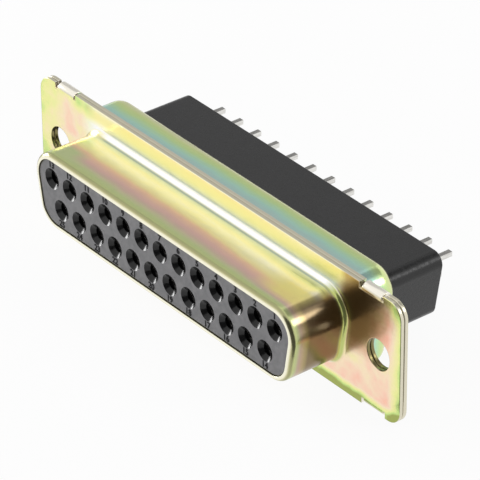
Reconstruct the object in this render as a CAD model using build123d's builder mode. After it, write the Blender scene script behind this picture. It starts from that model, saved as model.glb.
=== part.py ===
from build123d import *
import os
from math import cos, radians, sqrt, tan

# A board connector with a D-shaped front. The axes are +X to the right as the mating plug sees it,
# +Y to the rear, along the tails, and +Z up. The origin is midway between the two screw holes,
# on the front face of the flange. All lengths are in millimetres.

# Contact field, with the longer row on top
pitch = 2.76
row_spacing = 2.84
top_count = 13
bottom_count = 12

# Socket contacts
contact_bore = 1.06
barrel_wall = 0.22
slit_width = 0.25
bore_length = 5.4
mouth_recess = 0.9
collar_step = 0.05
collar_length = 1.1
tail_size = 0.5
tail_tip = 0.15
tail_length = 3.05

# Insulators, and the clearances round them
fit_gap = 0.05
cavity_gap = 0.2
cavity_side_count = 16
flange_gap = 0.1
face_recess = 0.05
split_depth = 2.3
block_depth = 11.45
block_corner = 1.15

# The two steel shells, each drawn from one sheet
sheet = 0.4
sheet_gap = 0.05
side_lean = 10

# Front hood, which keys the plug. Its margins run from the outer contacts' axes to its outside, and
# every D width is taken at mid height.
hood_side_margin = 2.39
hood_top_margin = 2.53
hood_corner = 2.6
hood_length = 6.1
hood_nose = 0.5
hood_root = 0.5
lip_reach = 0.15

# Rear hood, which holds the flanges of the two insulators and stands out beyond the front hood
rear_side_step = 1.2
rear_top_step = 1.45
rear_corner = 2.5
rear_depth = 4.8
rear_nose = 1.3
rear_root = 0.35

# Flange, with its screw holes beyond the rear hood
screw_clear = 3.37
screw_hole = 3.05
flange_end = 3.0
flange_edge = 0.875
flange_corner = 1.6

# Crimp tabs of the front shell, folded over notches in the rear shell
tab_width = 2.6
tab_leg = 1.2
tab_relief = 0.3
top_tab_inset = 1.02
bottom_tab_inset = 0.62

# Sizes worked out from those above
hood_width = (top_count - 1) * pitch + 2 * hood_side_margin
hood_height = row_spacing + 2 * hood_top_margin
rear_width = hood_width + 2 * rear_side_step
rear_height = hood_height + 2 * rear_top_step
screw_spacing = rear_width + 2 * screw_clear
flange_width = screw_spacing + 2 * flange_end
flange_height = rear_height + 2 * flange_edge
barrel_size = contact_bore + 2 * barrel_wall
cavity_hole = barrel_size + 2 * cavity_gap
collar_size = cavity_hole + 2 * collar_step

# Depths along Y worked out from the sizes above
rear_sheet_front = sheet + sheet_gap
rear_sheet_back = rear_sheet_front + sheet
rear_floor = rear_depth - sheet
insulator_face = face_recess - hood_length
contact_mouth = insulator_face + mouth_recess
tail_end = block_depth + tail_length

# A chamfer inside the rear hood keeps the sheet as thick across the nose as it is elsewhere
inner_nose = (rear_nose - sheet) * (2 - sqrt(2))

# The tabs' fold goes round the rear shell and comes flush with the flange's edge
fold_radius = (rear_sheet_back + sheet) / 2
fold_height = flange_height / 2 - fold_radius


def across(depth):
    """Plane across the connector, seen from the mating side, at a depth behind the flange's front."""
    return Plane.XZ.offset(-depth)


def d_outline(width, height, corner, inset=0.0):
    """Rounded D with its long side up, its walls moved inwards by the inset."""
    half_width = width / 2 - inset / cos(radians(side_lean))
    half_height = height / 2 - inset
    lean = half_height * tan(radians(side_lean))
    with BuildSketch() as outline:
        with BuildLine():
            Polyline(
                (half_width + lean, half_height),
                (-half_width - lean, half_height),
                (lean - half_width, -half_height),
                (half_width - lean, -half_height),
                close=True,
            )
        make_face()
        fillet(outline.vertices(), corner - inset)
    return outline.sketch


def flange_outline():
    """Rounded flange with its two screw holes."""
    with BuildSketch() as outline:
        RectangleRounded(flange_width, flange_height, flange_corner)
        with GridLocations(screw_spacing, 0, 2, 1):
            Circle(screw_hole / 2, mode=Mode.SUBTRACT)
    return outline.sketch


def row_places(count, height):
    """Places of one row of contacts, from the right as the plug sees them."""
    return [(pitch * ((count - 1) / 2 - place), height) for place in range(count)]


places = row_places(top_count, row_spacing / 2) + row_places(bottom_count, -row_spacing / 2)

# Each tab is at a place along X on the top edge (+1) or the bottom edge (-1), inside of the screws
tabs = []
for side in (-1, 1):
    tabs.append((side * (screw_spacing / 2 - top_tab_inset), 1))
    tabs.append((side * (screw_spacing / 2 - bottom_tab_inset), -1))


def tab_slots():
    """The notches in both flanges that leave room for the tabs and their bends."""
    with BuildSketch() as slots:
        for tab_x, edge in tabs:
            with Locations((tab_x, edge * flange_height / 2)):
                Rectangle(tab_width + 2 * tab_relief, 2 * fold_radius)
    return slots.sketch


# Front shell: flange and hood, with the hood's end turned in to a lip
with BuildPart() as front_shell:
    with BuildSketch(across(sheet)):
        add(flange_outline())
    extrude(amount=sheet)
    with BuildSketch(across(0)):
        add(d_outline(hood_width, hood_height, hood_corner))
    extrude(amount=hood_length)
    chamfer(front_shell.edges(Select.LAST).group_by(Axis.Y)[-1], hood_root)
    fillet(front_shell.faces().sort_by(Axis.Y)[0].edges(), hood_nose)
    with BuildSketch(across(sheet)):
        add(d_outline(hood_width, hood_height, hood_corner, sheet))
    extrude(amount=hood_length, mode=Mode.SUBTRACT)
    with BuildSketch(across(0)):
        add(d_outline(hood_width, hood_height, hood_corner, sheet + lip_reach))
    extrude(amount=hood_length, mode=Mode.SUBTRACT)
    with BuildSketch(across(sheet)):
        add(tab_slots())
    extrude(amount=sheet, mode=Mode.SUBTRACT)
    # each tab is folded over to the back, between the two reliefs that its slot leaves
    for tab_x, edge in tabs:
        tab_start = Vector(tab_x - edge * tab_width / 2, 0, 0)
        with BuildSketch(Plane(tab_start, x_dir=(0, 1, 0), z_dir=(edge, 0, 0))):
            with Locations((fold_radius, fold_height)):
                Circle(fold_radius)
                Circle(fold_radius - sheet, mode=Mode.SUBTRACT)
                Rectangle(
                    2 * fold_radius,
                    fold_radius,
                    align=(Align.CENTER, Align.MAX),
                    mode=Mode.SUBTRACT,
                )
            with Locations((2 * fold_radius, fold_height)):
                Rectangle(sheet, tab_leg, align=(Align.MAX, Align.MAX))
        extrude(amount=tab_width)
front_shell.part.label = "front_shell"

# Inside of the rear hood, which the rear shell and the insulators share
with BuildPart() as rear_cavity:
    with BuildSketch(across(rear_floor)):
        add(d_outline(rear_width, rear_height, rear_corner, sheet))
    extrude(amount=rear_floor - rear_sheet_front)
    chamfer(rear_cavity.faces().sort_by(Axis.Y)[-1].edges(), inner_nose)

# Rear shell: flange and hood, with a window in the hood's floor for the block
with BuildPart() as rear_shell:
    with BuildSketch(across(rear_sheet_back)):
        add(flange_outline())
    extrude(amount=sheet)
    with BuildSketch(across(rear_depth)):
        add(d_outline(rear_width, rear_height, rear_corner))
    extrude(amount=rear_depth - rear_sheet_back)
    chamfer(rear_shell.edges(Select.LAST).group_by(Axis.Y)[0], rear_root)
    fillet(rear_shell.faces().sort_by(Axis.Y)[-1].edges(), rear_nose)
    add(rear_cavity.part, mode=Mode.SUBTRACT)
    with BuildSketch(across(rear_depth)):
        add(d_outline(hood_width, hood_height, block_corner + sheet, sheet))
    extrude(amount=rear_depth, mode=Mode.SUBTRACT)
    with BuildSketch(across(rear_sheet_back)):
        add(tab_slots())
    extrude(amount=sheet, mode=Mode.SUBTRACT)
rear_shell.part.label = "rear_shell"

# Front insulator: nose inside the lip, body inside the hood, flange behind it
with BuildPart() as front_insulator:
    with BuildSketch(across(split_depth)):
        add(d_outline(rear_width, rear_height, rear_corner, sheet + flange_gap))
    extrude(amount=split_depth - sheet)
    with BuildSketch(across(sheet)):
        add(d_outline(hood_width, hood_height, hood_corner, sheet + fit_gap))
    extrude(amount=hood_length)
    with BuildSketch(across(0)):
        add(d_outline(hood_width, hood_height, hood_corner, sheet + lip_reach + fit_gap))
    extrude(amount=-insulator_face)
    with BuildSketch(across(split_depth)):
        with Locations(*places):
            RegularPolygon(cavity_hole / 2, cavity_side_count, major_radius=False)
    extrude(amount=split_depth - insulator_face, mode=Mode.SUBTRACT)
    with BuildSketch(across(split_depth)):
        with Locations(*places):
            Rectangle(collar_size + 2 * fit_gap, collar_size + 2 * fit_gap)
    extrude(amount=collar_length + fit_gap, mode=Mode.SUBTRACT)
front_insulator.part.label = "front_insulator"

# Rear insulator: flange in the rear hood, and the long block that the tails pass through
with BuildPart() as rear_insulator:
    with BuildSketch(across(rear_floor)):
        add(d_outline(rear_width, rear_height, rear_corner, sheet + flange_gap))
    extrude(amount=rear_floor - split_depth)
    chamfer(rear_insulator.faces().sort_by(Axis.Y)[-1].edges(), inner_nose)
    with BuildSketch(across(block_depth)):
        add(d_outline(hood_width, hood_height, block_corner + sheet + fit_gap, sheet + fit_gap))
    extrude(amount=block_depth - split_depth)
    with BuildSketch(across(block_depth)):
        with Locations(*places):
            Rectangle(tail_size + 2 * fit_gap, tail_size + 2 * fit_gap)
    extrude(amount=block_depth - split_depth, mode=Mode.SUBTRACT)
rear_insulator.part.label = "rear_insulator"

# Socket contact, folded from one strip: slit eight-sided barrel, stop collar and square tail
with BuildPart() as socket:
    with BuildSketch(across(split_depth)):
        RegularPolygon(barrel_size / 2, 8, major_radius=False, rotation=22.5)
    extrude(amount=split_depth - contact_mouth)
    with BuildSketch(across(split_depth)):
        Rectangle(collar_size, collar_size)
    extrude(amount=collar_length)
    with BuildSketch(across(contact_mouth)):
        Circle(contact_bore / 2)
    extrude(amount=-bore_length, mode=Mode.SUBTRACT)
    with BuildSketch(across(contact_mouth)):
        Rectangle(slit_width, 2 * barrel_size)
    extrude(amount=-bore_length, mode=Mode.SUBTRACT)
    with BuildSketch(across(tail_end)):
        Rectangle(tail_size, tail_size)
    extrude(amount=tail_end - split_depth)
    chamfer(socket.faces().sort_by(Axis.Y)[-1].edges(), tail_tip)

os.makedirs("parts", exist_ok=True)
for piece in (front_shell, rear_shell, front_insulator, rear_insulator):
    export_step(piece.part, f"parts/{piece.part.label}.step")

# One contact in each place, numbered as the connector is
for number, (contact_x, contact_z) in enumerate(places, start=1):
    with BuildPart() as contact:
        with Locations((contact_x, 0, contact_z)):
            add(socket.part)
    contact.part.label = f"contact_{number:02d}"
    export_step(contact.part, f"parts/{contact.part.label}.step")
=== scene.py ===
from math import cos, pi, radians, sin, sqrt, tan

import bmesh
import bpy
import numpy as np
from mathutils import Matrix, Vector
from mathutils.geometry import delaunay_2d_cdt


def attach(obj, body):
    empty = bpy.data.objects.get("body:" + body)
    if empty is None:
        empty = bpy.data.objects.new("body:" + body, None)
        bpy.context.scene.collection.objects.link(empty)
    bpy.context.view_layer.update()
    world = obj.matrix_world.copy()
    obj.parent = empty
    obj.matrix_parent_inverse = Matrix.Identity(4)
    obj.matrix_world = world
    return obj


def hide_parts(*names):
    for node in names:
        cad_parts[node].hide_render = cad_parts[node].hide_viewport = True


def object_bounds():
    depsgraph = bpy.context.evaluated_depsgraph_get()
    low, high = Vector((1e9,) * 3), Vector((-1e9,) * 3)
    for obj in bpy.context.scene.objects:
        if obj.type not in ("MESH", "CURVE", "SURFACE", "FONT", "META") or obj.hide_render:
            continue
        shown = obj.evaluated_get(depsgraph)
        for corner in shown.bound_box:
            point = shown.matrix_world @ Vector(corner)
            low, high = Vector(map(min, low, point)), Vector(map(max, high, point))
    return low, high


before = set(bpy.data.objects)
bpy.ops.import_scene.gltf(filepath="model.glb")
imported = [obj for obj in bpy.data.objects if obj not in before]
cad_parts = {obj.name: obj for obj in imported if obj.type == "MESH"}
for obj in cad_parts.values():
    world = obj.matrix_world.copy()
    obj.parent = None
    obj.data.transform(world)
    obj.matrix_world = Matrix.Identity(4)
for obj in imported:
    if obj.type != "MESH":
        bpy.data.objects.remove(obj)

cad_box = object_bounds()

# Camera. The connector was photographed through a long lens, from the right of its mating face and
# from above, so its long edges stay nearly parallel. The angles and the distance come from the
# screw holes, the flange's corners and the contact field, whose real places are known.
MM = 0.001
VIEW_AZIMUTH = radians(51.975)
VIEW_ELEVATION = radians(31.968)
VIEW_ROLL = radians(-0.525)
VIEW_DISTANCE = 344.66 * MM
VIEW_LENS = 286.4
VIEW_AIM = Vector((4.136, 0, 2.384)) * MM

back = Vector((
    sin(VIEW_AZIMUTH) * cos(VIEW_ELEVATION),
    -cos(VIEW_AZIMUTH) * cos(VIEW_ELEVATION),
    sin(VIEW_ELEVATION),
))
level = Vector((cos(VIEW_AZIMUTH), sin(VIEW_AZIMUTH), 0))
upright = back.cross(level)
view_right = level * cos(VIEW_ROLL) + upright * sin(VIEW_ROLL)
view_up = upright * cos(VIEW_ROLL) - level * sin(VIEW_ROLL)
camera_data = bpy.data.cameras.new("camera")
camera_data.sensor_width = 36
camera_data.lens = VIEW_LENS
camera = bpy.data.objects.new("camera", camera_data)
camera.matrix_world = (
    Matrix.Translation(VIEW_AIM + back * VIEW_DISTANCE)
    @ Matrix((view_right, view_up, back)).transposed().to_4x4()
)
bpy.context.scene.collection.objects.link(camera)
bpy.context.scene.camera = camera


# Front shell. Cold-rolled steel, drawn in one piece: a flange, and a D-shaped hood whose end is
# turned in to a lip round the contact face. Its four tabs are folded round the rear shell's
# flange and hold the connector together.
SHEET = 0.4
SIDE_LEAN = radians(10)
HOOD = {"width": 37.9, "height": 7.9, "corner": 2.6}
HOOD_LENGTH = 6.1
HOOD_NOSE = 0.5
HOOD_ROOT = 0.5
LIP_INSET = 0.55
LIP_EDGE = 0.03
FLANGE_SIZE = np.array((53.04, 12.55))
FLANGE_CORNER = 1.6
SCREW_SPACING = 47.04
SCREW_HOLE = 3.05
CUT_EDGE = 0.07
TAB_WIDTH = 2.6
TAB_RELIEF = 0.3
TAB_LEG = 1.2
TOP_TAB_X = 22.5
BOTTOM_TAB_X = 22.9
REAR_FRONT = 0.45
REAR_BACK = 0.85
FOLD_RADIUS = (REAR_BACK + SHEET) / 2
FOLD_HEIGHT = FLANGE_SIZE[1] / 2 - FOLD_RADIUS


def bend(centre, radius, start, end, steps=8):
    """A bend in a section, as (depth, inset) points: the centre plus the radius times the cosine
    of the angle in depth and its sine in inset, from the start angle to the end."""
    angles = np.radians(np.linspace(start, end, steps + 1))
    return np.array(centre) + radius * np.column_stack((np.cos(angles), np.sin(angles)))


def run(start, end, steps):
    """The points inside a straight stretch of a section: the start and the end in equal shares."""
    share = np.linspace(0, 1, steps + 2)[1:-1, None]
    return np.array(start) * (1 - share) + np.array(end) * share


def carried_round_d(section, width, height, corner, arc_points=13):
    """A section carried round a D. Each corner's arc is centred where the walls, moved in by the
    corner's radius, meet. A point is that centre plus the radius less the inset, times the unit
    vector of the arc's angle; straight walls join one arc to the next."""
    half_width = width / 2 - corner / cos(SIDE_LEAN)
    half_height = height / 2 - corner
    lean = half_height * tan(SIDE_LEAN)
    centres = np.array((
        (half_width + lean, half_height),
        (-half_width - lean, half_height),
        (lean - half_width, -half_height),
        (half_width - lean, -half_height),
    ))
    starts = np.array((-SIDE_LEAN, pi / 2, pi + SIDE_LEAN, 3 * pi / 2))
    ends = np.array((pi / 2, pi + SIDE_LEAN, 3 * pi / 2, 2 * pi - SIDE_LEAN))
    share = np.linspace(0, 1, arc_points)
    angles = starts[:, None] * (1 - share) + ends[:, None] * share
    outwards = np.stack((np.cos(angles), np.sin(angles)), -1)
    depth, inset = section.T
    ring = centres[None, :, None] + (corner - inset)[:, None, None, None] * outwards
    ring = ring.reshape(len(section), -1, 2)
    depth = np.broadcast_to(depth[:, None], ring.shape[:2])
    return np.stack((ring[..., 0], depth, ring[..., 1]), -1)


def wall(rings):
    """A grid of rings as points and quads: each ring is joined to the next, and its last point to
    its first."""
    rows, columns = rings.shape[:2]
    index = np.arange(rows * columns).reshape(rows, columns)
    index = np.hstack((index, index[:, :1]))
    quads = np.stack((index[:-1, :-1], index[:-1, 1:], index[1:, 1:], index[1:, :-1]), -1)
    return rings.reshape(-1, 3), quads.reshape(-1, 4).tolist()


def at_depth(loop, depth):
    """A loop of (x, z) points placed at a depth."""
    return np.column_stack((loop[:, 0], np.full(len(loop), depth), loop[:, 1]))


def flat_face(loops, depth):
    """Triangles between an outline and its holes. A triangle is kept if a line from its middle
    crosses the loops an odd number of times."""
    points = np.vstack(loops)
    starts = np.cumsum([0] + [len(loop) for loop in loops])
    edges = []
    for first, last in zip(starts[:-1].tolist(), starts[1:].tolist()):
        edges += [(k, k + 1) for k in range(first, last - 1)] + [(last - 1, first)]
    found = delaunay_2d_cdt([Vector(p) for p in points.tolist()], edges, [], 0, 1e-6)
    corners = np.array([tuple(v) for v in found[0]])
    triangles = np.array(found[2])
    middle = corners[triangles].mean(1)
    tail, head = points[np.array(edges)].transpose(1, 0, 2)
    over = (tail[:, 1] > middle[:, 1:]) != (head[:, 1] > middle[:, 1:])
    rise = np.where(tail[:, 1] == head[:, 1], 1, head[:, 1] - tail[:, 1])
    crossing = tail[:, 0] + (middle[:, 1:] - tail[:, 1]) / rise * (head[:, 0] - tail[:, 0])
    inside = ((over & (crossing > middle[:, :1])).sum(1) % 2).astype(bool)
    return at_depth(corners, depth), triangles[inside].tolist()


def moved_in(loop, distance):
    """A loop moved to its left: each point slides along the mitre of its two edges, which is the
    sum of their normals over one plus the cosine between them."""
    ahead = np.roll(loop, -1, 0) - loop
    ahead /= np.linalg.norm(ahead, axis=1)[:, None]
    behind = np.roll(ahead, 1, 0)
    first, second = (np.column_stack((-way[:, 1], way[:, 0])) for way in (behind, ahead))
    return loop + distance * (first + second) / (1 + (first * second).sum(1))[:, None]


def cut_edge(loop, front, rear, steps=3):
    """A sheet's cut edge, with the metal on the loop's left: the front face turns into the wall and
    the wall into the rear face, each by a quarter circle of the edge's radius."""
    turn = np.linspace(0, pi / 2, steps + 1)
    fall = CUT_EDGE * (1 - np.cos(turn))
    inset = CUT_EDGE * (1 - np.sin(turn))
    depths = np.concatenate((front + fall, rear - fall[::-1]))
    insets = np.concatenate((inset, inset[::-1]))
    return wall(np.array([at_depth(moved_in(loop, i), d) for d, i in zip(depths, insets)]))


def round_hole(x, z, radius, points=48):
    """A round hole's rim, clockwise, so that the material is on its left."""
    angles = -np.linspace(0, 2 * pi, points, endpoint=False)
    return np.column_stack((x + radius * np.cos(angles), z + radius * np.sin(angles)))


def flange_outline():
    """The flange's outline, anticlockwise: four rounded corners, and a slot in the long edges at
    each tab."""
    half = FLANGE_SIZE / 2
    points = []
    for quarter, sign in enumerate(((1, 1), (-1, 1), (-1, -1), (1, -1))):
        angles = np.linspace(0, pi / 2, 11) + quarter * pi / 2
        ways = np.column_stack((np.cos(angles), np.sin(angles)))
        points += list((half - FLANGE_CORNER) * sign + FLANGE_CORNER * ways)
        if quarter % 2:
            continue
        edge = 1 - quarter
        tab_x = TOP_TAB_X if edge > 0 else BOTTOM_TAB_X
        reach = edge * (TAB_WIDTH / 2 + TAB_RELIEF)
        for tab in (edge * tab_x, -edge * tab_x):
            points += [
                (tab + reach, edge * half[1]),
                (tab + reach, edge * FOLD_HEIGHT),
                (tab - reach, edge * FOLD_HEIGHT),
                (tab - reach, edge * half[1]),
            ]
    return np.array(points)


def flange(holes, front, rear, hood_rings):
    """A flange: its two faces, filled round the hood's ring and the screw holes, and its edges."""
    loops = [flange_outline()] + holes
    rims = [moved_in(loop, CUT_EDGE) for loop in loops]
    parts = [cut_edge(loop, front, rear) for loop in loops]
    for depth, ring in zip((front, rear), hood_rings):
        parts.append(flat_face(rims + [ring[:, (0, 2)]], depth))
    return parts


def folded_tab(tab_x, edge):
    """A tab: a strip's rounded section, carried up the flange, over the fold and down the back. The
    strip's middle line is the fold's centre plus its mean radius times the angle's cosine and
    sine, and then a straight leg."""
    turn = np.linspace(pi, 0, 19)
    ways = np.column_stack((np.cos(turn), np.sin(turn)))
    line = np.array((FOLD_RADIUS, FOLD_HEIGHT)) + (FOLD_RADIUS - SHEET / 2) * ways
    leg = np.linspace(0, 1, 4)[1:, None] * (0, -TAB_LEG)
    line = np.vstack((line, line[-1] + leg))
    ways = np.vstack((ways, np.repeat(ways[-1:], len(leg), 0)))
    angles = np.linspace(0, pi / 2, 4)[None] + (np.arange(4) * pi / 2)[:, None]
    half = np.array((TAB_WIDTH, SHEET)) / 2 - CUT_EDGE
    corners = np.array(((1, 1), (-1, 1), (-1, -1), (1, -1))) * half
    section = corners[:, None] + CUT_EDGE * np.stack((np.cos(angles), np.sin(angles)), -1)
    across, out = section.reshape(-1, 2).T
    depth = line[:, :1] + ways[:, :1] * out
    height = edge * (line[:, 1:] + ways[:, 1:] * out)
    verts, faces = wall(np.stack((np.broadcast_to(tab_x + across, depth.shape), depth, height), -1))
    ring, last = len(across), len(verts)
    return verts, faces + [list(range(ring)), list(range(last - ring, last))]


def make_piece(name, groups, sharp_from=35, merged_within=0.0005):
    """Joins the parts of each material into one mesh in metres, merges its seams and turns its
    faces outwards. Triangles lie on flat faces and are shaded flat; the rest is smooth."""
    verts, faces, slots, start = [], [], [], 0
    for slot, (_, parts) in enumerate(groups):
        for points, polygons in parts:
            verts.append(points)
            faces += [[start + corner for corner in polygon] for polygon in polygons]
            slots += [slot] * len(polygons)
            start += len(points)
    mesh = bpy.data.meshes.new(name)
    mesh.from_pydata((np.vstack(verts) * MM).tolist(), [], faces)
    for material, _ in groups:
        mesh.materials.append(material)
    mesh.polygons.foreach_set("material_index", slots)
    mesh.polygons.foreach_set("use_smooth", [len(corners) != 3 for corners in faces])
    shape = bmesh.new()
    shape.from_mesh(mesh)
    bmesh.ops.remove_doubles(shape, verts=shape.verts, dist=merged_within * MM)
    bmesh.ops.recalc_face_normals(shape, faces=shape.faces)
    for edge in shape.edges:
        flat = any(len(face.verts) == 3 for face in edge.link_faces)
        edge.smooth = not flat and edge.calc_face_angle(0) < radians(sharp_from)
    shape.to_mesh(mesh)
    shape.free()
    piece = bpy.data.objects.new(name, mesh)
    bpy.context.scene.collection.objects.link(piece)
    weighting = piece.modifiers.new("flat faces stay flat", "WEIGHTED_NORMAL")
    weighting.keep_sharp = True
    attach(piece, "root")
    return piece


def linear(hex_colour):
    """An sRGB hex colour as linear RGBA."""
    channels = [int(hex_colour[k:k + 2], 16) / 255 for k in (1, 3, 5)]
    return [c / 12.92 if c <= 0.04045 else ((c + 0.055) / 1.055) ** 2.4 for c in channels] + [1]


def add_node(tree, kind, inputs=None, stops=None, **settings):
    """Adds a node, sets its properties, links or fills the inputs that are named, and gives a
    colour ramp its stops, the first and the last before the ones between."""
    node = tree.nodes.new(kind)
    for name, value in settings.items():
        setattr(node, name, value)
    for name, value in (inputs or {}).items():
        if isinstance(value, bpy.types.NodeSocket):
            tree.links.new(value, node.inputs[name])
        else:
            node.inputs[name].default_value = value
    for place, (position, shade) in enumerate(stops or ()):
        elements = node.color_ramp.elements
        stop = elements[place] if place < 2 else elements.new(position)
        stop.position = position
        stop.color = linear(shade)
    return node


def new_material(name):
    """A material with a principled shader, and the place on the piece in millimetres."""
    material = bpy.data.materials.new(name)
    material.use_nodes = True
    tree = material.node_tree
    tree.nodes.clear()
    shader = add_node(tree, "ShaderNodeBsdfPrincipled")
    add_node(tree, "ShaderNodeOutputMaterial", {"Surface": shader.outputs[0]})
    metres = add_node(tree, "ShaderNodeTexCoord").outputs["Object"]
    place = add_node(tree, "ShaderNodeMapping", {0: metres, 3: (1 / MM, 1 / MM, 1 / MM)}).outputs[0]
    return material, tree, shader, place


def spread_over(tree, *stretches, operation="MULTIPLY"):
    """Spreads each value evenly over its stretch, holds it outside, and multiplies the results or
    adds them up. A stretch is (value, from, to), and the results at the two if not 0 and 1."""
    total = None
    for stretch in stretches:
        result = add_node(tree, "ShaderNodeMapRange", dict(enumerate(stretch))).outputs[0]
        if total is not None:
            inputs = {0: total, 1: result}
            result = add_node(tree, "ShaderNodeMath", inputs, operation=operation).outputs[0]
        total = result
    return total


def patched(tree, colour, shade, *stretches):
    """The shade within all the stretches, and the colour outside them."""
    inputs = {0: spread_over(tree, *stretches), 6: colour, 7: shade}
    return add_node(tree, "ShaderNodeMix", inputs, data_type="RGBA").outputs[2]


def ramp_over(tree, value, stops):
    """A colour ramp over a value, from stops of (value, hex colour)."""
    low, high = stops[0][0], stops[-1][0]
    shares = [((place - low) / (high - low), shade) for place, shade in stops]
    ends_first = [shares[0], shares[-1]] + shares[1:-1]
    share = spread_over(tree, (value, low, high))
    return add_node(tree, "ShaderNodeValToRGB", {0: share}, ends_first).outputs[0]


# The shells' finish is zinc plate under a yellow chromate film. It is a metal that shows the
# film's thickness as colour: pale where it is thin, then yellow, tan, rose, teal and green.
FLANGE_FILM = (
    (0.0, "#ffc0a8"), (0.2, "#fed4bc"), (0.4, "#fce5c4"),
    (0.6, "#f8efb2"), (0.8, "#f0f2a0"), (1.0, "#cde88e"), (1.25, "#a4ae5e"),
)
# The bands above the front hood, over height: yellow film, with a painted highlight in white at their foot.
ABOVE_BANDS_AND_HIGHLIGHT = (
    (4.4, "#ffffff"), (4.6, "#fffce4"), (4.9, "#fff8c2"), (5.2, "#fcf3aa"),
    (5.6, "#fbf1a6"), (5.9, "#fdf4b0"), (6.2, "#fff9d0"),
)
EDGE_SHADE = "#dcd6c0"
# Painted shade on the walls of the screw holes.
HOLE_PAINTED_SHADE = "#857c54"
TAB_SHADE = "#f4efe2"
# Painted shade: a dark brown reflection on the flange to the right of the front hood.
BESIDE_PAINTED_SHADE = "#c9b083"

# A shade on the cut edges or the tabs comes in and goes out over this length.
FADE = 0.1

# Cells of noise for each millimetre. The marks of the drawing are finer on steel like this, and are
# drawn as coarse as they need to be to show: a ninth of a millimetre wide.
MARKS_PER_MM = (0.6, 9, 9)
DRIFT_PER_MM = 0.22
PATCHES_PER_MM = 0.3
DENTS_PER_MM = 0.7
MARK_HEIGHT = 0.004
DENT_HEIGHT = 0.03
FILM_ROUGHNESS = (0.14, 0.3)

# The values below are stretches: from, to, and what the value becomes at the two if not 0 and 1.
# Noise moves the bands of film by so many millimetres, but only at the depths of the hoods' walls.
DRIFT_SHIFT = (0.3, 0.7, -0.15, 0.15)
MARKS_SHIFT = (0.2, 0.8, -0.1, 0.1)
WALL_DEPTHS = ((-5.6, -5.0), (-1.2, -0.7, 0, -1), (0.9, 1.5))

# The flange is in patches, and is greener towards its edges and to the left.
PATCHES = (0.32, 0.68, 0, 0.55)
RIGHT_EDGE = (24.8, 26.4, 0, 0.7)
LEFT_EDGE = (-26.4, -24.8, 0.32, 0)
LONG_EDGES = (4.7, 5.8, 0, 0.35)
LOWER_EDGE = (-5.7, -4.8, 0.7, 0)
LEFTWARDS = (-24, 20, 0.22, 0)

# Above the front hood the flange is in bands, and to the right of the hood it is brown, which is a
# painted shade. The last stretch of each goes with height, and the others go sideways.
ABOVE_HOOD = ((17.5, 20, 1, 0), (2.5, 3.5))
BESIDE_HOOD = ((18.3, 19.2), (22, 25, 1, 0), (-1.6, 0.4))

# Towards its ends the front hood's film is patched with painted reflections in yellow, olive and
# cream, and with painted shade in brown at the right end and olive at the right of the root. Each
# patch has its shade, a stretch along the hood, and two of depth, over which it comes in and goes
# out again.
HOOD_PAINTED_REFLECTIONS = (
    ("#fcee92", (11.5, 14.5, 0, 0.85), (-5.0, -4.3), (-2.5, -1.4, 1, 0)),
    ("#cbd59e", (-15.5, -13.5, 1, 0), (-5.6, -5.0), (-3.8, -3.1, 1, 0)),
    ("#e6dac0", (-17.6, -16.6, 0.9, 0), (-5.2, -4.8), (-0.8, -0.6, 1, 0)),
    ("#f0e8b0", (-17.0, -15.4, 1, 0), (-0.8, -0.6), (0.0, 0.1, 1, 0)),
    ("#8c7a5e", (16.9, 18.0), (-5.9, -4.0), (-0.7, -0.45, 1, 0.3)),
    ("#c3cc7e", (16.4, 17.8), (-0.6, -0.4), (0.0, 0.1, 1, 0)),
)


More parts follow.
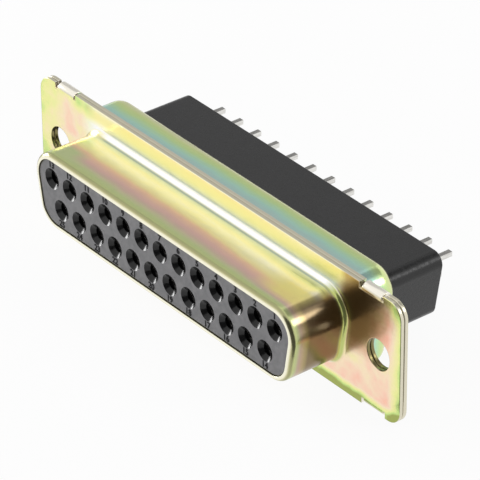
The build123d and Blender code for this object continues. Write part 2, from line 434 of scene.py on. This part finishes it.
def chromated_zinc(name, hood_ramp, sooner, flange_depths, edge_depths, above_bands_and_highlight=None):
    """The hood's film changes with depth, a little sooner or later along its length, and the
    flange's with noise and towards its edges. Cut edges are pale, but olive in the screw holes,
    where the olive is painted shade, and the tabs' folds are the palest. The drawing marks are fine
    noise, drawn out along the hood. With bands above the hood, whose white foot is a painted
    highlight, it is the front shell's finish, and has the patches of that, which are painted
    reflections and shade."""
    material, tree, shader, place = new_material(name)
    x, y, z = add_node(tree, "ShaderNodeSeparateXYZ", {0: place}).outputs
    side = add_node(tree, "ShaderNodeMath", {0: x}, operation="ABSOLUTE").outputs[0]
    rise = add_node(tree, "ShaderNodeMath", {0: z}, operation="ABSOLUTE").outputs[0]
    drawn = add_node(tree, "ShaderNodeMapping", {0: place, 3: MARKS_PER_MM}).outputs[0]
    scales = ((drawn, 1, 3), (place, DRIFT_PER_MM, 2), (place, PATCHES_PER_MM, 4), (place, DENTS_PER_MM, 1))
    marks, drift, patches, dents = (
        add_node(tree, "ShaderNodeTexNoise", {"Vector": at, "Scale": scale, "Detail": detail}).outputs[0]
        for at, scale, detail in scales
    )

    # the hood's bands of film, moved to and fro
    shift = spread_over(tree, (drift, *DRIFT_SHIFT), (x, *sooner), (marks, *MARKS_SHIFT), operation="ADD")
    walls = spread_over(tree, *((y, *depths) for depths in WALL_DEPTHS), operation="ADD")
    moved = {0: shift, 1: walls, 2: y}
    depth = add_node(tree, "ShaderNodeMath", moved, operation="MULTIPLY_ADD").outputs[0]
    colour = ramp_over(tree, depth, hood_ramp)

    # the flange's film
    shares = ((patches, *PATCHES), (x, *RIGHT_EDGE), (x, *LEFT_EDGE), (rise, *LONG_EDGES))
    shares += ((z, *LOWER_EDGE), (x, *LEFTWARDS))
    flange_colour = ramp_over(tree, spread_over(tree, *shares, operation="ADD"), FLANGE_FILM)

    # what is on the front shell alone
    if above_bands_and_highlight:
        bands = ramp_over(tree, z, above_bands_and_highlight)
        out, up = ABOVE_HOOD
        flange_colour = patched(tree, flange_colour, bands, (side, *out), (z, *up))
        # painted shade to the right of the hood
        near, far, up = BESIDE_HOOD
        flange_colour = patched(tree, flange_colour, linear(BESIDE_PAINTED_SHADE), (x, *near), (x, *far), (z, *up))
        # painted reflections and shade at the hood's ends
        for shade, along, comes_in, goes_out in HOOD_PAINTED_REFLECTIONS:
            colour = patched(tree, colour, linear(shade), (x, *along), (y, *comes_in), (y, *goes_out))
    colour = patched(tree, colour, flange_colour, (y, *flange_depths))

    # cut edges, painted shade in the screw holes, and the tabs' folds
    radius = SCREW_HOLE / 2
    near, far = SCREW_SPACING / 2 - radius - FADE, SCREW_SPACING / 2 + radius + FADE
    edge_colour = patched(
        tree,
        linear(EDGE_SHADE),
        linear(HOLE_PAINTED_SHADE),
        (side, near - FADE, near),
        (side, far, far + FADE, 1, 0),
        (rise, radius + CUT_EDGE / 5, radius + CUT_EDGE, 1, 0),
    )
    colour = patched(tree, colour, edge_colour, (y, *edge_depths))
    near, far = TOP_TAB_X - TAB_WIDTH / 2 - FADE, BOTTOM_TAB_X + TAB_WIDTH / 2
    colour = patched(
        tree,
        colour,
        linear(TAB_SHADE),
        (side, near - FADE, near),
        (side, far, far + FADE, 1, 0),
        (rise, FOLD_HEIGHT - 1.5 * FADE, FOLD_HEIGHT - FADE / 2),
        (y, FADE / 2, FADE),
    )
    tree.links.new(colour, shader.inputs["Base Color"])

    tree.links.new(spread_over(tree, (marks, 0, 1, *FILM_ROUGHNESS)), shader.inputs["Roughness"])
    marked = {"Height": marks, "Strength": 0.3, "Distance": MARK_HEIGHT * MM}
    normal = add_node(tree, "ShaderNodeBump", marked).outputs[0]
    dented = {"Height": dents, "Strength": 0.6, "Distance": DENT_HEIGHT * MM, "Normal": normal}
    tree.links.new(add_node(tree, "ShaderNodeBump", dented).outputs[0], shader.inputs["Normal"])
    shader.inputs["Metallic"].default_value = 1
    return material


# The front hood's film over depth. The grey-green stops at the root's crease, -0.72 to -0.46, and behind
# the lip, -6.0 to -5.8, are painted shade; the near-white at the lip's edge, -6.1 to -6.05, is a painted
# highlight.
FRONT_FILM_AND_PAINTED_LIGHT = (
    (-6.1, "#fdfae4"), (-6.05, "#f4efd2"), (-6.0, "#ccc89e"), (-5.93, "#a8a67a"), (-5.8, "#a2a276"),
    (-5.62, "#cbd493"), (-5.2, "#c9d598"), (-4.8, "#d3cfa5"), (-4.4, "#dac0ac"), (-4.0, "#e6beb2"),
    (-3.6, "#f0c6b0"), (-3.2, "#fcd3ad"), (-2.8, "#fff0b0"), (-2.3, "#fffac8"), (-1.6, "#fffffa"),
    (-1.2, "#fbfbe8"), (-0.9, "#ecf0d6"), (-0.72, "#dce2c4"), (-0.6, "#aebaa6"), (-0.46, "#a4b2b4"),
    (-0.35, "#f0f2ec"), (-0.22, "#ffffff"), (0.0, "#ffffff"),
)
front_finish = chromated_zinc(
    "yellow_passivated_zinc_front", FRONT_FILM_AND_PAINTED_LIGHT, sooner=(4, 16, 0, 0.6),
    flange_depths=(-0.1, 0.0), edge_depths=(0.01, 0.05), above_bands_and_highlight=ABOVE_BANDS_AND_HIGHLIGHT,
)

nose = (HOOD_NOSE - HOOD_LENGTH, HOOD_NOSE)
root = (-HOOD_ROOT, -HOOD_ROOT)
lip = LIP_INSET - LIP_EDGE
hood_section = np.vstack((
    bend(root, HOOD_ROOT, 0, 90),
    run((-HOOD_ROOT, 0), (nose[0], 0), 24),
    bend(nose, HOOD_NOSE, -90, -180),
    bend((LIP_EDGE - HOOD_LENGTH, lip), LIP_EDGE, 180, 90, 3),
    bend((SHEET - LIP_EDGE - HOOD_LENGTH, lip), LIP_EDGE, 90, 0, 3),
    bend(nose, HOOD_NOSE - SHEET, -180, -90, 3),
    bend(root, HOOD_ROOT + SHEET, 90, 0),
))
hood_rings = carried_round_d(hood_section, **HOOD)
screw_holes = [round_hole(side * SCREW_SPACING / 2, 0, SCREW_HOLE / 2) for side in (-1, 1)]
front_parts = [wall(hood_rings)] + flange(screw_holes, 0, SHEET, (hood_rings[0], hood_rings[-1]))
for side in (-1, 1):
    front_parts.append(folded_tab(side * TOP_TAB_X, 1))
    front_parts.append(folded_tab(side * BOTTOM_TAB_X, -1))
front_shell = make_piece("front_shell_steel", [(front_finish, front_parts)])
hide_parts("front_shell")


# Rear shell. A second drawing of the same sheet and finish, wider and shallower, with a rounded
# shoulder. Its floor has a D-shaped window, through which the rear insulator's block stands out.
REAR = {"width": 40.3, "height": 10.8, "corner": 2.5}
WINDOW = {"width": 37.9, "height": 7.9, "corner": 1.55}
REAR_DEPTH = 4.8
REAR_NOSE = 1.3
REAR_ROOT = 0.35

REAR_FILM = (
    (0.85, "#efe8c4"), (1.2, "#dce0c0"), (1.6, "#bcd4cc"), (2.0, "#b6d7ce"), (2.4, "#b6dfcc"),
    (2.8, "#bfe3b8"), (3.2, "#cce5a2"), (3.6, "#d5e49e"), (4.0, "#e2e5b0"), (4.3, "#c8cc9c"),
    (4.8, "#f0d8a8"),
)
rear_finish = chromated_zinc(
    "yellow_passivated_zinc_rear", REAR_FILM, sooner=(-16, 16, 0.25, -0.2),
    flange_depths=(0.9, 0.88), edge_depths=(0.84, 0.8),
)

shoulder = (REAR_DEPTH - REAR_NOSE, REAR_NOSE)
rear_root = (REAR_BACK + REAR_ROOT, -REAR_ROOT)
outside = np.vstack((
    bend(rear_root, REAR_ROOT, 180, 90),
    run((rear_root[0], 0), (shoulder[0], 0), 12),
    bend(shoulder, REAR_NOSE, -90, 0, 14),
))
inside = np.vstack((
    bend(shoulder, REAR_NOSE - SHEET, 0, -90, 10),
    bend(rear_root, REAR_ROOT + SHEET, 90, 180),
))
window_edge = np.vstack((
    bend((REAR_DEPTH - CUT_EDGE, SHEET - CUT_EDGE), CUT_EDGE, 0, 90, 3),
    bend((REAR_DEPTH - SHEET + CUT_EDGE, SHEET - CUT_EDGE), CUT_EDGE, 90, 180, 3),
))
rear_rings = np.concatenate((
    carried_round_d(outside, **REAR),
    carried_round_d(window_edge, **WINDOW),
    carried_round_d(inside, **REAR),
))
rear_parts = [wall(rear_rings)]
rear_parts += flange(screw_holes, REAR_FRONT, REAR_BACK, (rear_rings[-1], rear_rings[0]))
rear_shell = make_piece("rear_shell_steel", [(rear_finish, rear_parts)])
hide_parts("rear_shell")


# Front insulator. Glass-filled polyester, moulded: a body inside the hood, a nose in the lip with
# 25 round cavities, and a flange behind, where square pockets take the contacts' collars. Its
# mould was spark-eroded, so it is dull and slightly mottled.
PITCH = 2.76
ROW_SPACING = 2.84
TOP_COUNT = 13
BOTTOM_COUNT = 12
FIT_GAP = 0.05
FACE_DEPTH = -5.98
FACE_EDGE = 0.1
SPLIT_DEPTH = 2.3
CAVITY_RADIUS = 0.95
FUNNEL_MOUTH = 1.07
FUNNEL_THROAT = 0.66
FUNNEL_END = -5.15
POCKET_HALF = 1.05
POCKET_DEPTH = 1.15
FLANGE_INSET = 0.5
CAVITY_POINTS = 40
MOTTLE_PER_MM = 1.6
GRAIN_HEIGHT = 0.02
GRAIN_ROUGHNESS = 0.08

rows = ((TOP_COUNT, ROW_SPACING / 2), (BOTTOM_COUNT, -ROW_SPACING / 2))
places = [(PITCH * ((count - 1) / 2 - k), height) for count, height in rows for k in range(count)]


def square_hole(x, z, half, points=CAVITY_POINTS):
    """A square hole's rim, clockwise: each angle's unit vector over its longer component."""
    angles = -np.linspace(0, 2 * pi, points, endpoint=False)
    ways = np.column_stack((np.cos(angles), np.sin(angles)))
    return np.array((x, z)) + half * ways / np.abs(ways).max(1)[:, None]


def cavity(x, z):
    """One cavity's rims with their depths: a funnel of 45 degrees that guides the pin, its throat,
    the round bore behind it, and a square pocket."""
    fall = FUNNEL_MOUTH - FUNNEL_THROAT
    rims = [
        (round_hole(x, z, FUNNEL_MOUTH, CAVITY_POINTS), FACE_DEPTH),
        (round_hole(x, z, FUNNEL_THROAT, CAVITY_POINTS), FACE_DEPTH + fall),
        (round_hole(x, z, FUNNEL_THROAT, CAVITY_POINTS), FUNNEL_END),
        (round_hole(x, z, CAVITY_RADIUS, CAVITY_POINTS), FUNNEL_END),
        (round_hole(x, z, CAVITY_RADIUS, CAVITY_POINTS), POCKET_DEPTH),
        (square_hole(x, z, POCKET_HALF), POCKET_DEPTH),
        (square_hole(x, z, POCKET_HALF), SPLIT_DEPTH),
    ]
    return np.array([at_depth(rim, depth) for rim, depth in rims])


def moulded_polyester(name, dark, light, roughness, grain_per_mm=5, index=1.5):
    """Slow noise mottles the colour; fine noise, in cells for each millimetre, is the grain."""
    material, tree, shader, place = new_material(name)
    slow = {"Vector": place, "Scale": MOTTLE_PER_MM, "Detail": 5}
    mottle = add_node(tree, "ShaderNodeTexNoise", slow).outputs[0]
    colour = add_node(tree, "ShaderNodeValToRGB", {0: mottle}, ((0.32, dark), (0.68, light))).outputs[0]
    tree.links.new(colour, shader.inputs["Base Color"])
    fine = {"Vector": place, "Scale": grain_per_mm, "Detail": 2}
    grain = add_node(tree, "ShaderNodeTexNoise", fine).outputs[0]
    rough = (grain, 0.3, 0.7, roughness - GRAIN_ROUGHNESS, roughness + GRAIN_ROUGHNESS)
    tree.links.new(spread_over(tree, rough), shader.inputs["Roughness"])
    shader.inputs["IOR"].default_value = index
    bump = {"Height": grain, "Strength": 0.35, "Distance": GRAIN_HEIGHT * MM}
    tree.links.new(add_node(tree, "ShaderNodeBump", bump).outputs[0], shader.inputs["Normal"])
    return material


# The cavities are formed on polished core pins, so they are glossier than the face, and mirror the
# lights in small bright spots. Their near-black colour is painted shade.
# The face is painted a lighter grey than the block: that grey is painted sheen.
face_finish_and_sheen = moulded_polyester("glass_filled_polyester_face_and_sheen", "#6a6a6c", "#7b7a7c", 0.4)
cavity_finish_and_shade = moulded_polyester("polished_polyester_cavity_and_shade", "#070708", "#0c0c0d", 0.18, index=1.42)
nose_inset = LIP_INSET + FIT_GAP
body_inset = SHEET + FIT_GAP
nose_section = np.vstack((
    bend((FACE_DEPTH + FACE_EDGE, nose_inset + FACE_EDGE), FACE_EDGE, 180, 270, 4),
    ((SHEET - HOOD_LENGTH, nose_inset), (SHEET - HOOD_LENGTH, body_inset), (SHEET, body_inset)),
))
collar_section = np.array(((SHEET, FLANGE_INSET), (SPLIT_DEPTH, FLANGE_INSET)))
insulator_rings = np.concatenate((
    carried_round_d(nose_section, **HOOD),
    carried_round_d(collar_section, **REAR),
))
cavities = [cavity(x, z) for x, z in places]
insulator_parts = [wall(insulator_rings)]
for end, depth in ((0, FACE_DEPTH), (-1, SPLIT_DEPTH)):
    loops = [rings[end][:, (0, 2)] for rings in [insulator_rings] + cavities]
    insulator_parts.append(flat_face(loops, depth))
groups = [(face_finish_and_sheen, insulator_parts), (cavity_finish_and_shade, [wall(rims) for rims in cavities])]
front_insulator = make_piece("front_insulator_moulding", groups)
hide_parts("front_insulator")


# Contact numbers. They are moulded on the face, one above each hole of the top row and one below
# each hole of the bottom row, counted from the right. They stand a hair proud of the polyester, and
# look darker than it.
NUMBER_HEIGHT = 0.62
NUMBER_RISE = 0.03
NUMBER_STROKE = 0.02
NUMBER_CLEAR = 1.48
CAP_SHARE = 0.7

number_finish = moulded_polyester("raised_polyester_numbers", "#08080a", "#101012", 0.6, index=1.25)
number_parts = []
for number, (x, z) in enumerate(places, start=1):
    words = bpy.data.curves.new("number", "FONT")
    words.body = str(number)
    words.size = NUMBER_HEIGHT / CAP_SHARE
    words.align_x = "CENTER"
    words.align_y = "CENTER"
    words.extrude = NUMBER_RISE
    words.offset = NUMBER_STROKE
    holder = bpy.data.objects.new("number", words)
    mesh = bpy.data.meshes.new_from_object(holder)
    points = np.zeros(len(mesh.vertices) * 3)
    mesh.vertices.foreach_get("co", points)
    across, up, rise = points.reshape(-1, 3).T
    height = z + (NUMBER_CLEAR if z > 0 else -NUMBER_CLEAR)
    letters = np.column_stack((x + across, FACE_DEPTH - rise, height + up))
    number_parts.append((letters, [list(polygon.vertices) for polygon in mesh.polygons]))
    bpy.data.objects.remove(holder)
numbers = make_piece("contact_numbers", [(number_finish, number_parts)])


# Rear insulator, a flange in the rear hood and the long block that the tails pass through. The same
# polyester from a smoother mould, so it has a slight sheen. It is darker than the face, whose lighter
# grey is painted sheen.
BLOCK = {"width": 37.9, "height": 7.9, "corner": 1.6}
BLOCK_DEPTH = 11.45
BLOCK_RIM = 0.14
TAIL_HOLE_HALF = 0.3
REAR_FLOOR = REAR_DEPTH - SHEET
INNER_NOSE = (REAR_NOSE - SHEET) * (2 - sqrt(2))

block_finish = moulded_polyester("glass_filled_polyester_block", "#0a0a0b", "#121213", 0.32, grain_per_mm=4)
flange_section = np.array((
    (SPLIT_DEPTH, FLANGE_INSET),
    (REAR_FLOOR - INNER_NOSE, FLANGE_INSET),
    (REAR_FLOOR, FLANGE_INSET + INNER_NOSE),
))
block_section = np.vstack((
    ((REAR_FLOOR, body_inset),),
    bend((BLOCK_DEPTH - BLOCK_RIM, body_inset + BLOCK_RIM), BLOCK_RIM, -90, 0, 4),
))
block_rings = np.concatenate((
    carried_round_d(flange_section, **REAR),
    carried_round_d(block_section, **BLOCK),
))
tail_holes = [square_hole(x, z, TAIL_HOLE_HALF, 8) for x, z in places]
block_parts = [wall(block_rings)]
for loop in tail_holes:
    block_parts.append(wall(np.array([at_depth(loop, depth) for depth in (SPLIT_DEPTH, BLOCK_DEPTH)])))
for end, depth in ((0, SPLIT_DEPTH), (-1, BLOCK_DEPTH)):
    block_parts.append(flat_face([block_rings[end][:, (0, 2)]] + tail_holes, depth))
rear_insulator = make_piece("rear_insulator_moulding", [(block_finish, block_parts)])
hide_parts("rear_insulator")


# Contacts. Brass strip, stamped and folded, then tin plated: a bright, slightly warm grey metal. Its
# faces that look up and down are painted darker than its sides, which is painted shade.
WIPES_PER_MM = (6, 0.9, 6)
TIN_ROUGHNESS = (0.2, 0.4)

contact_finish, tree, shader, place = new_material("tin_plated_brass")
wiped = add_node(tree, "ShaderNodeMapping", {0: place, 3: WIPES_PER_MM}).outputs[0]
wipe = add_node(tree, "ShaderNodeTexNoise", {"Vector": wiped, "Scale": 1, "Detail": 3}).outputs[0]
# painted shade: faces that look up and down are darker than the sides
bright_sides = add_node(tree, "ShaderNodeValToRGB", {0: wipe}, ((0.3, "#d2d0cb"), (0.7, "#efeeea"))).outputs[0]
shaded_tops = add_node(tree, "ShaderNodeValToRGB", {0: wipe}, ((0.3, "#8c8b88"), (0.7, "#b0aeaa"))).outputs[0]
normal = add_node(tree, "ShaderNodeNewGeometry").outputs["Normal"]
facing = add_node(tree, "ShaderNodeSeparateXYZ", {0: normal}).outputs[2]
upwards = add_node(tree, "ShaderNodeMath", {0: facing}, operation="ABSOLUTE").outputs[0]
colour = patched(tree, bright_sides, shaded_tops, (upwards, 0, 1))
tree.links.new(colour, shader.inputs["Base Color"])
tree.links.new(spread_over(tree, (wipe, 0, 1, *TIN_ROUGHNESS)), shader.inputs["Roughness"])
shader.inputs["Metallic"].default_value = 1
for name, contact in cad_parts.items():
    if name.startswith("contact_"):
        contact.data.materials.clear()
        contact.data.materials.append(contact_finish)


# Studio. A white table and surround, which the metal mirrors too. Softboxes stand at the front left,
# the far left and the rear. Cards that only mirrors see shape the metal's reflections: black felt
# at the right, grey at the rear, and a bright one for the cavities' glints. Two dark cards on the
# table, at the right and under the left end, are a painted shadow of the connector.
FLOOR_SIZE = 3
TABLE_GLOW = 0.93
FILL = 0.6

# A card on the table faces up, and a hair back, so that it has a side way and an up way as others do.
FACING_UP = (0, 0.001, 1)


def sheet_of(name, corners, material):
    """A flat four-cornered sheet of the studio."""
    mesh = bpy.data.meshes.new(name)
    mesh.from_pydata(corners, [], [(0, 1, 2, 3)])
    mesh.materials.append(material)
    sheet = bpy.data.objects.new(name, mesh)
    bpy.context.scene.collection.objects.link(sheet)
    return sheet


def seen_directly(tree):
    """One for camera, mirror and glass rays, and zero for the light that falls on things."""
    paths = add_node(tree, "ShaderNodeLightPath").outputs
    rays = {0: paths["Is Camera Ray"], 1: paths["Is Glossy Ray"]}
    seen = add_node(tree, "ShaderNodeMath", rays, operation="MAXIMUM").outputs[0]
    rays = {0: seen, 1: paths["Is Transmission Ray"]}
    return add_node(tree, "ShaderNodeMath", rays, operation="MAXIMUM").outputs[0]


table_finish, tree, shader, place = new_material("white_table")
shader.inputs["Base Color"].default_value = linear("#f4f4f4")
shader.inputs["Roughness"].default_value = 0.9
glow = add_node(tree, "ShaderNodeEmission", {"Color": (1, 1, 1, 1), "Strength": 1}).outputs[0]
part = {0: seen_directly(tree), 1: TABLE_GLOW}
part = add_node(tree, "ShaderNodeMath", part, operation="MULTIPLY").outputs[0]
both = add_node(tree, "ShaderNodeMixShader", {0: part, 1: shader.outputs[0], 2: glow}).outputs[0]
tree.links.new(both, tree.nodes["Material Output"].inputs["Surface"])
half = FLOOR_SIZE / 2
lowest = cad_box[0][2]
corners = [(-half, -half, lowest), (half, -half, lowest), (half, half, lowest), (-half, half, lowest)]
sheet_of("white_table", corners, table_finish)

world = bpy.data.worlds.new("white_surround")
world.use_nodes = True
bpy.context.scene.world = world
tree = world.node_tree
tree.nodes.clear()
level_light = add_node(tree, "ShaderNodeBackground", {"Color": (1, 1, 1, 1), "Strength": FILL}).outputs[0]
paper = add_node(tree, "ShaderNodeBackground", {"Color": (1, 1, 1, 1), "Strength": 1}).outputs[0]
both = add_node(tree, "ShaderNodeMixShader", {0: seen_directly(tree), 1: level_light, 2: paper}).outputs[0]
add_node(tree, "ShaderNodeOutputWorld", {"Surface": both})


def softbox(name, place, size, brightness, mirrored):
    """A square lamp that faces the connector. Place and size are in millimetres, and the power is
    the brightness times pi times the area. Metal shows it only where it is mirrored."""
    data = bpy.data.lights.new(name, "AREA")
    data.shape = "SQUARE"
    data.size = size * MM
    data.energy = brightness * pi * data.size ** 2
    lamp = bpy.data.objects.new(name, data)
    at = Vector(place) * MM
    turned = (at - VIEW_AIM).to_track_quat("Z", "Y").to_matrix().to_4x4()
    lamp.matrix_world = Matrix.Translation(at) @ turned
    lamp.visible_glossy = mirrored
    bpy.context.scene.collection.objects.link(lamp)


softbox("front_softbox", (-290, -230, 270), 300, 1.0, False)
softbox("left_softbox", (-380, -105, 70), 270, 4, False)
softbox("rear_softbox", (264, 209, 212), 130, 3, True)


def card(name, brightness, centre, towards, half_width, half_height):
    """A card that only mirrors see. It stands upright, leans so that it faces the connector, or
    lies on the table. The centre and the half sizes are in millimetres."""
    material = bpy.data.materials.new(name)
    material.use_nodes = True
    tree = material.node_tree
    tree.nodes.clear()
    glow = add_node(tree, "ShaderNodeEmission", {"Color": (1, 1, 1, 1), "Strength": brightness}).outputs[0]
    add_node(tree, "ShaderNodeOutputMaterial", {"Surface": glow})
    across = Vector(towards).cross(Vector((0, 0, 1))).normalized()
    up = across.cross(Vector(towards)).normalized()
    corners = []
    for side, rise in ((-1, -1), (1, -1), (1, 1), (-1, 1)):
        corners.append((Vector(centre) + across * side * half_width + up * rise * half_height) * MM)
    sheet = sheet_of(name, corners, material)
    sheet.visible_camera = False
    sheet.visible_diffuse = False
    sheet.visible_shadow = False


card("black_felt_card", 0.13, (62, -58, 50), (-0.73, 0.68, 0), 60, 56)
# The next two lie on the table as a painted shadow of the connector.
card("shadow_card_right", 0.16, (68.6, -47.2, -6.2), FACING_UP, 45, 45)
card("shadow_card_left", 0.04, (-37.5, 11, -6.2), FACING_UP, 15, 14)
card("left_glint_card", 12, (-390, -80, 56), (0.97, 0.2, -0.14), 72, 82)
card("left_grey_card", 0.62, (-214.6, 168.4, 130.3), (0.668, -0.523, -0.529), 130, 160)
card("rear_grey_card", 0.4, (30, 200, 290), (-0.085, -0.565, -0.82), 100, 95)

bpy.context.scene.view_settings.view_transform = "Standard"
